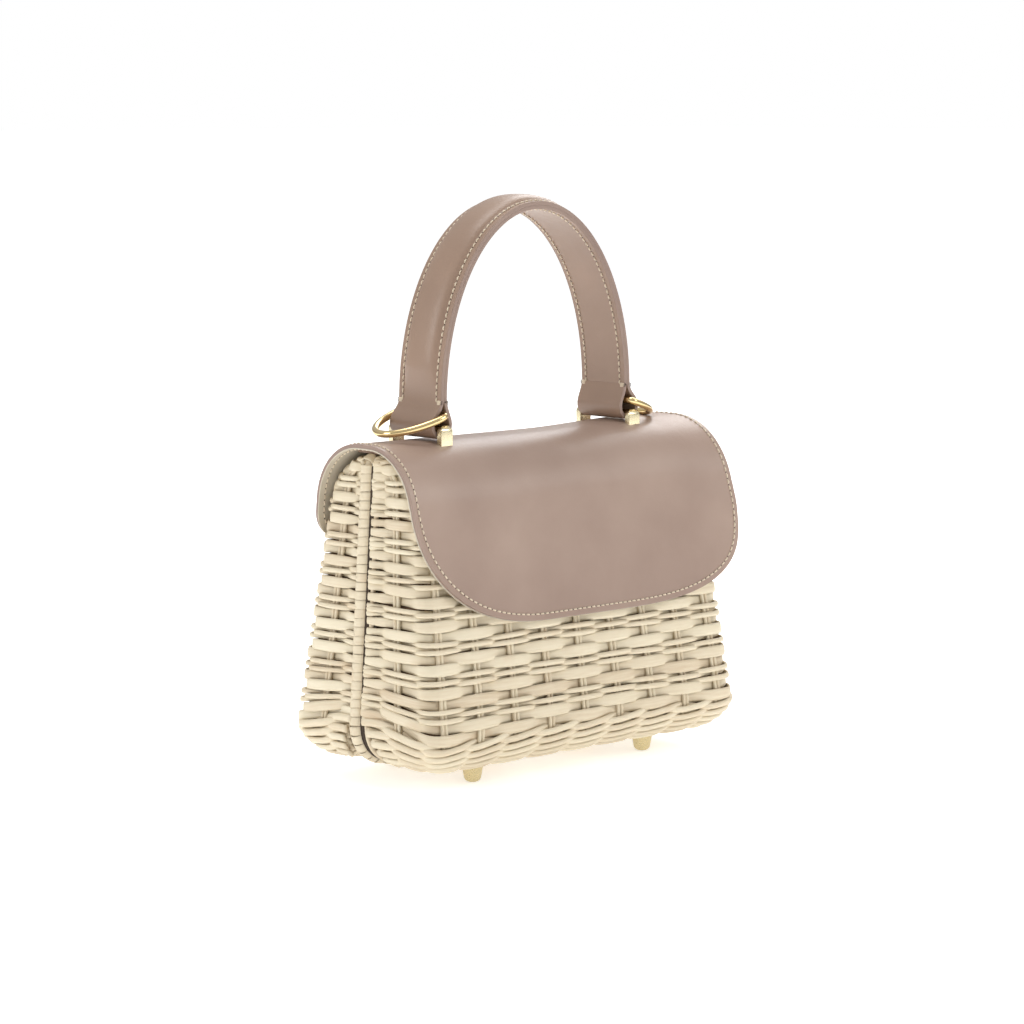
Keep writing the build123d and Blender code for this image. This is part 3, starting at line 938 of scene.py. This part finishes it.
# %% Painted shadow strip round the mouth
# A near-black strip just inside each half's mouth: painted shadow of the seam between the halves.
seam_shadow_depth, seam_shadow_y = 3.0, 0.85
for side, name in halves:
    strands = Strands()
    seam_shadow_line, seam_shadow_out = mouth_line(seam_shadow_depth, seam_shadow_y, side, 2.5)
    strands.add(seam_shadow_line, seam_shadow_out, 0.75, 1.3, 8, 0.5, closed=True, power=0.7)
    seam_shadow = strands.to_object(f"seam_shadow_strip_{name}", seam_shadow_strip)
    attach(seam_shadow, f"{name}_half")

# %% [markdown]
# ## Linings
# Each half is lined with dark cloth. It follows the same U form, a little
# further in, and puckers softly between its seams.

# %% Lining cloth
lining_depth = 5.75
lining_edge_y = 2.2
for side, name in halves:
    lining, grid = add_grid(f"lining_cloth_{name}", 110, 90)
    level = -floor_depth + 3 + (grid[:, 1] + 1) / 2 * (top_start + top_depth + floor_depth - 6)
    reach = along_of_end(level, lining_edge_y, side)
    pucker = 0.35 * np.sin(grid[:, 0] * 40) * np.sin(grid[:, 1] * 7 + grid[:, 0] * 9)
    points, _ = place_on_u(grid[:, 0] * reach, level, lining_depth + pucker, side)
    set_points(lining, points)
    thicken(lining, 0.5, 0)
    bpy.ops.object.shade_smooth()
    lining.data.materials.append(lining_cloth)
    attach(lining, f"{name}_half")
    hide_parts(f"lining_{name}")
print("linings made")

# %% [markdown]
# ## The leather flap
# One hide bends over the top of the bag. Flat on the bench it is a panel whose
# front end is cut to a full curve and whose back end is short. So the panel is
# drawn flat first, and each point is then carried onto the bent path.

# %% The bent path of the hide
leather = 2.4
outer_thickness = 1.85
hide_gap = 1.15
bend_inside = 31.6
hide_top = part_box("flap_top")[1].z / mm
bend_outside = bend_inside + leather
bend_centre_z = hide_top - bend_outside
tilt = math.atan(lean_depth)
shoulder_y = half_depth(hide_top - leather) + hide_gap
flat_half = shoulder_y - bend_inside * math.tan((quarter - tilt) / 2)
bend_arc = bend_outside * (quarter - tilt)


def hide_place(down, sink=0.0):
    """(y, z, normal y, normal z) of the hide's outside, down the front if positive."""
    distance = np.abs(down)
    turn = np.clip((distance - flat_half) / bend_outside, 0, quarter - tilt)
    drop = np.maximum(distance - flat_half - bend_arc, 0)
    y = np.minimum(distance, flat_half) + bend_outside * np.sin(turn) + drop * math.sin(tilt)
    z = bend_centre_z + bend_outside * np.cos(turn) - drop * math.cos(tilt)
    out_y, out_z = np.sin(turn), np.cos(turn)
    hand = -np.sign(down)
    return hand * (y - out_y * sink), z - out_z * sink, hand * out_y, out_z


def down_at(z):
    """Distance down the hide of a height on its straight drop."""
    below_bend = (bend_centre_z + bend_outside * math.sin(tilt) - z) / math.cos(tilt)
    return flat_half + bend_arc + below_bend


# %% The flat pattern
def corner_arc(centre_x, centre_down, across, drop, fullness, steps=40):
    """A quarter of a full oval, from the side of the panel to its end."""
    turn = np.linspace(0, quarter, steps)
    power = 2 / fullness
    return np.stack([
        centre_x + across * np.cos(turn) ** power,
        centre_down + drop * np.sin(turn) ** power,
    ], -1)


front_edge_z, back_edge_z = 79.4, 118.0
front_edge_down, back_edge_down = down_at(front_edge_z), -down_at(back_edge_z)
left_arc = corner_arc(-25, 45.5, -82.5, front_edge_down - 45.5, 2.3)
right_arc = corner_arc(20, 67, 93.0, front_edge_down - 67, 3.1)
front_outline = np.concatenate([left_arc, right_arc[::-1]])
back_left = corner_arc(-87.5, back_edge_down + 15, -15, -15, 2.0, 14)
back_right = corner_arc(88.5, back_edge_down + 15, 15, -15, 2.0, 14)
back_outline = np.concatenate([back_left, back_right[::-1]])
print("hide lies flat at about", round(front_edge_down - back_edge_down), "by 217 mm")


# %% Bend the panel
def hide_relief(x, down):
    """Small height changes of the worked leather, in millimetres."""
    soft = 0.35 * np.sin(x / 23 + 1.3) * np.sin(down / 17 + 0.4)
    soft = soft + 0.25 * np.sin(x / 41 - down / 29)
    on_front = np.clip((down - 20) / 30, 0, 1)
    lifted = 3.6 * np.clip((x - 45) / 65, 0, 1) ** 2 * smooth((down - 25) / 45)
    dent = -0.8 * np.exp(-(((x - 78) / 5) ** 2 + ((down - 11) / 7) ** 2))
    domed = 2.3 * smooth((x - 10) / 70) * smooth((48 - np.abs(down - 8)) / 34)
    return soft * on_front + lifted + dent + domed


def hide_point(x, down, sink=0.0):
    y, z, out_y, out_z = hide_place(down, sink)
    relief = hide_relief(x, down)
    points = np.stack([x, y + out_y * relief, z + out_z * relief], -1)
    normals = np.stack([np.zeros_like(out_y), out_y, out_z], -1)
    return points, normals


def fill_outline(across, along, columns, rows):
    """Flat points inside the outline; its four sides meet halfway round each corner."""
    front = spread(np.concatenate([left_arc[20:], right_arc[::-1][:20]]), columns + 1)
    back = spread(np.concatenate([back_left[7:], back_right[::-1][:7]]), columns + 1)
    left = spread(np.concatenate([left_arc[20::-1], back_left[:8]]), rows + 1)
    right = spread(np.concatenate([right_arc[20::-1], back_right[:8]]), rows + 1)
    i, j = np.rint(across * columns).astype(int), np.rint(along * rows).astype(int)
    u, v = across[:, None], along[:, None]
    straight = ((front[0] * (1 - u) + front[-1] * u) * (1 - v)
                + (back[0] * (1 - u) + back[-1] * u) * v)
    return front[i] * (1 - v) + back[i] * v + left[j] * (1 - u) + right[j] * u - straight


def bend_layer(name, sink, thickness, grow, face, edge):
    """One layer of the hide; grow is how far it reaches past the outline."""
    columns, rows = 120, 96
    layer, grid = add_grid(name, columns, rows)
    flat_points = fill_outline((grid[:, 0] + 1) / 2, (grid[:, 1] + 1) / 2, columns, rows)
    middle = np.array([0, (front_edge_down + back_edge_down) / 2])
    half_size = np.array([107, (front_edge_down - back_edge_down) / 2])
    flat_points = middle + (flat_points - middle) * (1 + grow / half_size)
    points, _ = hide_point(flat_points[:, 0], flat_points[:, 1], sink)
    set_points(layer, points)
    layer.data.materials.append(face)
    layer.data.materials.append(edge)
    facing = layer.data.polygons[len(layer.data.polygons) // 2].normal
    if facing.dot(Vector((0, -0.3, 1))) < 0:
        edit_whole(bpy.ops.mesh.flip_normals)
    thicken(layer, thickness, -1, rim_material=1)
    bevel_edges(layer, thickness * 0.3, 3, 60)
    bpy.ops.object.shade_smooth()
    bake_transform(layer)
    print(name, "has", len(layer.data.polygons), "faces")
    return layer


outer_hide = bend_layer(
    "flap_outer_leather", 0.0, outer_thickness, 0.0, flap_leather, edge_paint)
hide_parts("flap_top", "flap_front")
bend_layer("flap_suede_lining", outer_thickness, leather - outer_thickness, 0.35, suede, suede)

# %% [markdown]
# ## Stitching
# A row of waxed thread runs all round the flap a few millimetres in from the
# edge. Each stitch is a short strand, thin at both ends where it dips into the
# leather. The same stitches show on the underside.

# %% Stitches
stitch_pitch = 3.2
stitch_inset = 3.1
stitch_gap = 0.11
stitch_half_thick = 0.46


def add_stitch(strands, start, end, normal):
    """One stitch, proud in its middle, and painted shade in the needle hole it dips into."""
    steps = np.linspace(0, 1, 5)
    arch = np.sin(steps * math.pi)
    path = start + (end - start) * steps[:, None] + normal * (arch * 0.5 - 0.15)[:, None]
    thick = stitch_half_thick * (0.45 + 0.55 * arch)
    strands.add(path, np.tile(normal, (5, 1)), thick, thick, 5, chance.uniform(0.3, 0.9))
    forward = (end - start) / np.linalg.norm(end - start)
    # A flat near-black mark after each stitch, with a tone of 0: painted shade in the needle hole.
    hole_shade = end + forward * np.array([[0.02], [0.75]]) + normal * 0.03
    strands.add(hole_shade, np.tile(normal, (2, 1)), 0.34, 0.05, 4, 0.0)


def stitch_row(strands, points, normals):
    """Stitches from each point to the next, with leather left free between them."""
    for i in range(len(points) - 1):
        gap = (points[i + 1] - points[i]) * stitch_gap
        add_stitch(strands, points[i] + gap, points[i + 1] - gap, normals[i])


def closed(line):
    return np.vstack([line, line[:1]])


def inset_loop(line, distance):
    """A closed flat outline moved inwards."""
    direction = unit(np.roll(line, -1, 0) - np.roll(line, 1, 0))
    inward = np.stack([-direction[:, 1], direction[:, 0]], -1)
    if np.mean(np.sum(inward * (line.mean(0) - line), 1)) < 0:
        inward = -inward
    return line + inward * distance


outline = np.concatenate([front_outline, back_outline[::-1]])
outline = spread(closed(outline), 520)[:-1]
seam_line = closed(inset_loop(outline, stitch_inset))
seam_line = spread(seam_line, int(run_length(seam_line)[-1] / stitch_pitch) + 1)
strands = Strands()
for sink, hand in ((0.0, 1), (leather, -1)):
    seam, seam_normals = hide_point(seam_line[:, 0], seam_line[:, 1], sink)
    stitch_row(strands, seam, seam_normals * hand)
flap_stitching = strands.to_object("flap_stitching", thread)
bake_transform(flap_stitching)

# %% [markdown]
# ## The handle
# The outer strap is one long piece of leather: it arches over, turns round the
# pin at each end and comes back up inside. A filler raises its middle, and a
# second strap closes the underside. Both are grids laid along their path.

# %% The path of the handle
handle_y = 3.2
strap_half = 15.5
spring_z = 186.0
strap_layer = 2.0
arch_span, arch_rise = 65.6, 96.5
outer_arch = (arch_span, arch_rise)
inner_arch = (arch_span - 2 * strap_layer, arch_rise - 2 * strap_layer)
loop_x, loop_z, loop_radius = 65.0, 175.3, 7.1


def arch_points(span, rise, steps):
    turn = np.linspace(math.pi, 0, steps)
    return np.stack([span * np.cos(turn), spring_z + rise * np.sin(turn)], -1)


def askew(x):
    """The handle stands a little taller at its right end, as hand work does."""
    return 0.8 + 0.0123 * x


def smooth_line(line, count):
    """Evenly spaced points on a rounded line through the given ones."""
    even = spread(line, 400)
    for _ in range(10):
        even[1:-1] = even[1:-1] * 0.5 + (even[:-2] + even[2:]) * 0.25
    return spread(even, count)


loop_turn = np.radians(np.arange(34, -215, -12))
right_loop = np.stack([np.cos(loop_turn), np.sin(loop_turn)], -1) * loop_radius
right_loop = np.array([loop_x, loop_z]) + right_loop
right_start = np.array([(arch_span, spring_z - 0.5), (arch_span + 0.5, spring_z - 2)])
right_end = np.array([(61.2, spring_z - 2), (61.5, spring_z + 1.2)])
outer_right = np.concatenate([right_start, right_loop, right_end])
outer_left = (outer_right * (-1, 1))[::-1]
outer_path = np.concatenate([outer_left, arch_points(*outer_arch, 120), outer_right])
outer_path = smooth_line(outer_path, 261)
inner_path = arch_points(*inner_arch, 150)


def path_normals(line):
    """Normals on the left hand of travel."""
    direction = unit(np.gradient(line, axis=0))
    return np.stack([-direction[:, 1], direction[:, 0]], -1)


def crown(across, height):
    """Rise of the padded middle, as a share of its full height."""
    inner = np.clip(1 - np.abs(across * strap_half / 11.3) ** 3, 0, 1) ** 0.5
    above = np.clip((height - 189) / 16, 0, 1)
    return inner * above * above * (3 - 2 * above)


# %% Make the straps
def lay_strap(name, path, pad, thickness):
    """A strap whose shown face follows path; pad is how far its middle rises."""
    steps = len(path) - 1
    strap, grid = add_grid(name, steps, 40)
    station = np.rint((grid[:, 0] + 1) / 2 * steps).astype(int)
    across = np.sin(grid[:, 1] * quarter * 0.9) / math.sin(quarter * 0.9)
    rise = pad * crown(across, path[station, 1])
    flat = path[station] + path_normals(path)[station] * rise[:, None]
    x, z = flat[:, 0], flat[:, 1]
    set_points(strap, np.stack([x, handle_y + across * strap_half, z + askew(x)], -1))
    strap.data.materials.append(handle_leather)
    strap.data.materials.append(edge_paint)
    thicken(strap, abs(thickness), -1 if thickness > 0 else 1, rim_material=1)
    bevel_edges(strap, 0.5, 2, 60)
    edit_whole(bpy.ops.mesh.normals_make_consistent, inside=False)
    bpy.ops.object.shade_smooth()
    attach(strap, "back_half")
    print(name, "has", len(strap.data.polygons), "faces")
    return strap


outer_strap = lay_strap("handle_outer_leather", outer_path, 3.2, strap_layer)
inner_strap = lay_strap("handle_inner_leather", inner_path, 0.0, -strap_layer)
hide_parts("handle_outer_strap", "handle_padding")
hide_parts("handle_inner_strap")

# %% Handle stitching
strap_inset = 3.2
tack_length, tack_stitches, tack_step = 3.3, 3, 0.7
strands = Strands()
for arch, hand in ((outer_arch, 1), (inner_arch, -1)):
    path = arch_points(*arch, 300)
    seam = spread(path, int(run_length(path)[-1] / stitch_pitch) + 1)
    normals = path_normals(seam) * hand
    seam[:, 1] += askew(seam[:, 0])
    outward = np.stack([normals[:, 0], np.zeros(len(seam)), normals[:, 1]], -1)
    for across in (-1, 1):
        y = np.full(len(seam), handle_y + across * (strap_half - strap_inset))
        points = np.stack([seam[:, 0], y, seam[:, 1]], -1)
        stitch_row(strands, points, outward)
        for last in (0, -1):
            for k in range(tack_stitches):
                start = points[last] + (0, 0, tack_step * k) - (0, 0, 0.4)
                add_stitch(strands, start, start + (0, across * tack_length, 0), outward[last])
handle_stitching = strands.to_object("handle_stitching", thread)
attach(handle_stitching, "back_half")

# %% [markdown]
# ## Metal parts
# The posts are small blocks with rounded heads. The rings are a torus drawn
# into a D. The feet are cones with a flange. The posts and the feet are
# bevelled, because bright edges are what makes polished metal read as metal.


# %% Posts
def finish_metal(piece, material, body, nodes):
    bpy.ops.object.shade_smooth_by_angle(angle=math.radians(35))
    piece.data.materials.append(material)
    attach(piece, body)
    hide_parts(*nodes)


def runs_over_top(mesh, edge, top):
    """Whether an edge lies at the top and runs from front to back."""
    ends = [mesh.vertices[i].co for i in edge.vertices]
    return all(e.z > top - 1e-5 for e in ends) and abs(ends[0].y - ends[1].y) > 1e-4


corners = [(face, hand) for face in ("front", "back") for hand in ("left", "right")]
post_lowered, post_round = 1.0 * mm, 3.0 * mm
for face, hand in corners:
    corner_low, corner_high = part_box(f"handle_post_{face}_{hand}")
    corner_high.z -= post_lowered
    bpy.ops.mesh.primitive_cube_add(size=1)
    post = bpy.context.object
    post.name = f"post_{face}_{hand}"
    to_size = Matrix.Diagonal((*(corner_high - corner_low), 1))
    post.data.transform(Matrix.Translation((corner_low + corner_high) / 2) @ to_size)
    select_only(post.data, "edges", lambda e: runs_over_top(post.data, e, corner_high.z))
    bpy.ops.mesh.bevel(offset=post_round, segments=8, affect="EDGES")
    bpy.ops.object.mode_set(mode="OBJECT")
    bevel_edges(post, 0.6, 3)
    finish_metal(post, post_gold, "back_half", [f"handle_post_{face}_{hand}"])

# %% D-rings
ring_bar_z = 180.0
ring_wire, ring_corner, ring_reach, ring_half = 1.8, 2.4, 27.0, 18.0
droop = math.radians(18)
bar_x = 64.2
ring_steps, drawn_wire = 96, 0.2


def ring_line():
    """The wire's middle as (outwards, sideways), once round."""
    bar_end = ring_half - ring_corner
    bow = np.linspace(-quarter, quarter, 60)
    corner = np.linspace(0, quarter, 9)
    low_corner = np.stack([
        ring_corner - ring_corner * np.cos(corner), -bar_end - ring_corner * np.sin(corner)
    ], -1)
    bow_out = ring_corner + (ring_reach - ring_corner) * np.cos(bow)
    bow_line = np.stack([bow_out, ring_half * np.sin(bow)], -1)
    high_corner = (low_corner * (1, -1))[::-1]
    bar_middle = np.zeros((1, 2))
    line = np.concatenate([bar_middle, low_corner, bow_line[1:-1], high_corner, bar_middle])
    return spread(line, ring_steps + 1)[:-1]


for hand, sign in (("left", -1), ("right", 1)):
    bpy.ops.mesh.primitive_torus_add(
        major_segments=ring_steps, minor_segments=18, major_radius=1, minor_radius=drawn_wire)
    ring = bpy.context.object
    ring.name = f"strap_ring_{hand}"
    line = ring_line()
    direction = unit(np.roll(line, -1, 0) - np.roll(line, 1, 0))
    side_way = np.stack([direction[:, 1], -direction[:, 0]], -1)
    co = np.array([v.co for v in ring.data.vertices])
    share = (np.arctan2(co[:, 1], co[:, 0]) % (2 * math.pi)) / (2 * math.pi)
    around = np.rint(share * ring_steps).astype(int) % ring_steps
    radial = (np.hypot(co[:, 0], co[:, 1]) - 1) / drawn_wire
    flat = line[around] + side_way[around] * (radial * ring_wire)[:, None]
    rise = co[:, 2] / drawn_wire * ring_wire
    x = bar_x + flat[:, 0] * math.cos(droop) + rise * math.sin(droop)
    z = ring_bar_z - flat[:, 0] * math.sin(droop) + rise * math.cos(droop)
    set_points(ring, np.stack([sign * x, handle_y + flat[:, 1], z], -1))
    edit_whole(bpy.ops.mesh.normals_make_consistent, inside=False)
    bpy.ops.object.shade_smooth()
    ring.data.materials.append(gold)
    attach(ring, f"d_ring_{hand}")
    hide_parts(f"d_ring_{hand}")

# %% Feet
tip_radius, cone_radius, flange_radius, tip_round = 3.9, 5.3, 6.2, 2.3
flange, flange_start = 1.2 * mm, 0.01 * mm
for face, hand in corners:
    corner_low, corner_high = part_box(f"foot_{face}_{hand}")
    middle = (corner_low + corner_high) / 2
    height = corner_high.z - corner_low.z - flange
    bpy.ops.mesh.primitive_cone_add(
        vertices=40, radius1=tip_radius * mm, radius2=cone_radius * mm, depth=height,
        location=(middle.x, middle.y, corner_low.z + height / 2))
    foot = bpy.context.object
    foot.name = f"foot_cone_{face}_{hand}"
    bpy.ops.object.transform_apply(location=True, rotation=True, scale=True)
    select_only(foot.data, "polygons", lambda p: p.normal.z < -0.9)
    bpy.ops.mesh.bevel(offset=tip_round * mm, segments=6, affect="EDGES")
    select_only(foot.data, "polygons", lambda p: p.normal.z > 0.9)
    bpy.ops.mesh.extrude_region_move(TRANSFORM_OT_translate={"value": (0, 0, flange_start)})
    wider = flange_radius / cone_radius
    bpy.ops.transform.resize(value=(wider, wider, 1), center_override=(middle.x, middle.y, 0))
    to_top = (0, 0, flange - flange_start)
    bpy.ops.mesh.extrude_region_move(TRANSFORM_OT_translate={"value": to_top})
    bpy.ops.mesh.select_all(action="DESELECT")
    bpy.ops.object.mode_set(mode="OBJECT")
    bevel_edges(foot, 0.4, 3, 60)
    finish_metal(foot, pale_gold, f"{face}_half", [f"foot_{face}_{hand}"])
print("metal parts made")

# %% [markdown]
# ## Frame parts that stay
# Pins, hinges, screws, rivets and the magnet keep their own shapes and only
# get their finish.

# %% Finish the frame parts
finish_of_slot = {
    "gold": gold, "pale_gold": pale_gold, "magnet_steel": steel, "stiffener": loop_dark,
    "padding": loop_dark, "hide": flap_leather, "handle_leather": handle_leather,
    "cane": cane, "lining_cloth": lining_cloth,
}
for part in frame["record"]["subparts"]:
    kept = frame["nodes"][part["node"]]
    kept.data.materials.clear()
    kept.data.materials.append(finish_of_slot[part["material_slot"]])
print("frame parts finished:", sum(not n.hide_render for n in frame["nodes"].values()))
